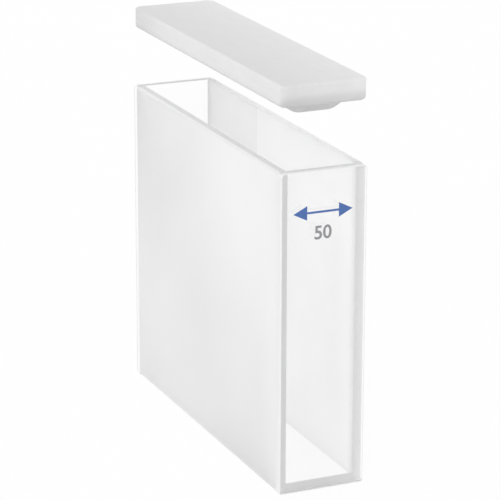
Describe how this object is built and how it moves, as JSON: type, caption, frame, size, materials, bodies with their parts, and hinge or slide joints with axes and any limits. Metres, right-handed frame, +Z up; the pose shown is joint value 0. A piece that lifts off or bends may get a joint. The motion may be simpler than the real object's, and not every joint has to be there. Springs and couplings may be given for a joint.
{
  "type": "cuvette",
  "caption": "Tall narrow rectangular glass cell with clear end windows, frosted long walls, an open top and a white lid with a tapered plug held above it.",
  "frame": {"origin": "middle of the foot, at the bottom of the cell", "axes": "+Z up out of the mouth, +X along the light path towards the front window, +Y across the cell"},
  "size_m": [0.0524, 0.0126, 0.0567],
  "materials": {
    "polished_glass": "clear fused quartz, polished",
    "frosted_glass": "fused quartz, finely ground on both faces",
    "base_glass": "clear fused quartz, ground edges",
    "lid_plastic": "white PTFE, smooth and waxy"
  },
  "bodies": {
    "root": {"front_window": "polished_glass", "rear_window": "polished_glass", "near_side_wall": "frosted_glass", "far_side_wall": "frosted_glass", "base_plate": "base_glass", "lid": "lid_plastic"}
  },
  "joints": []
}
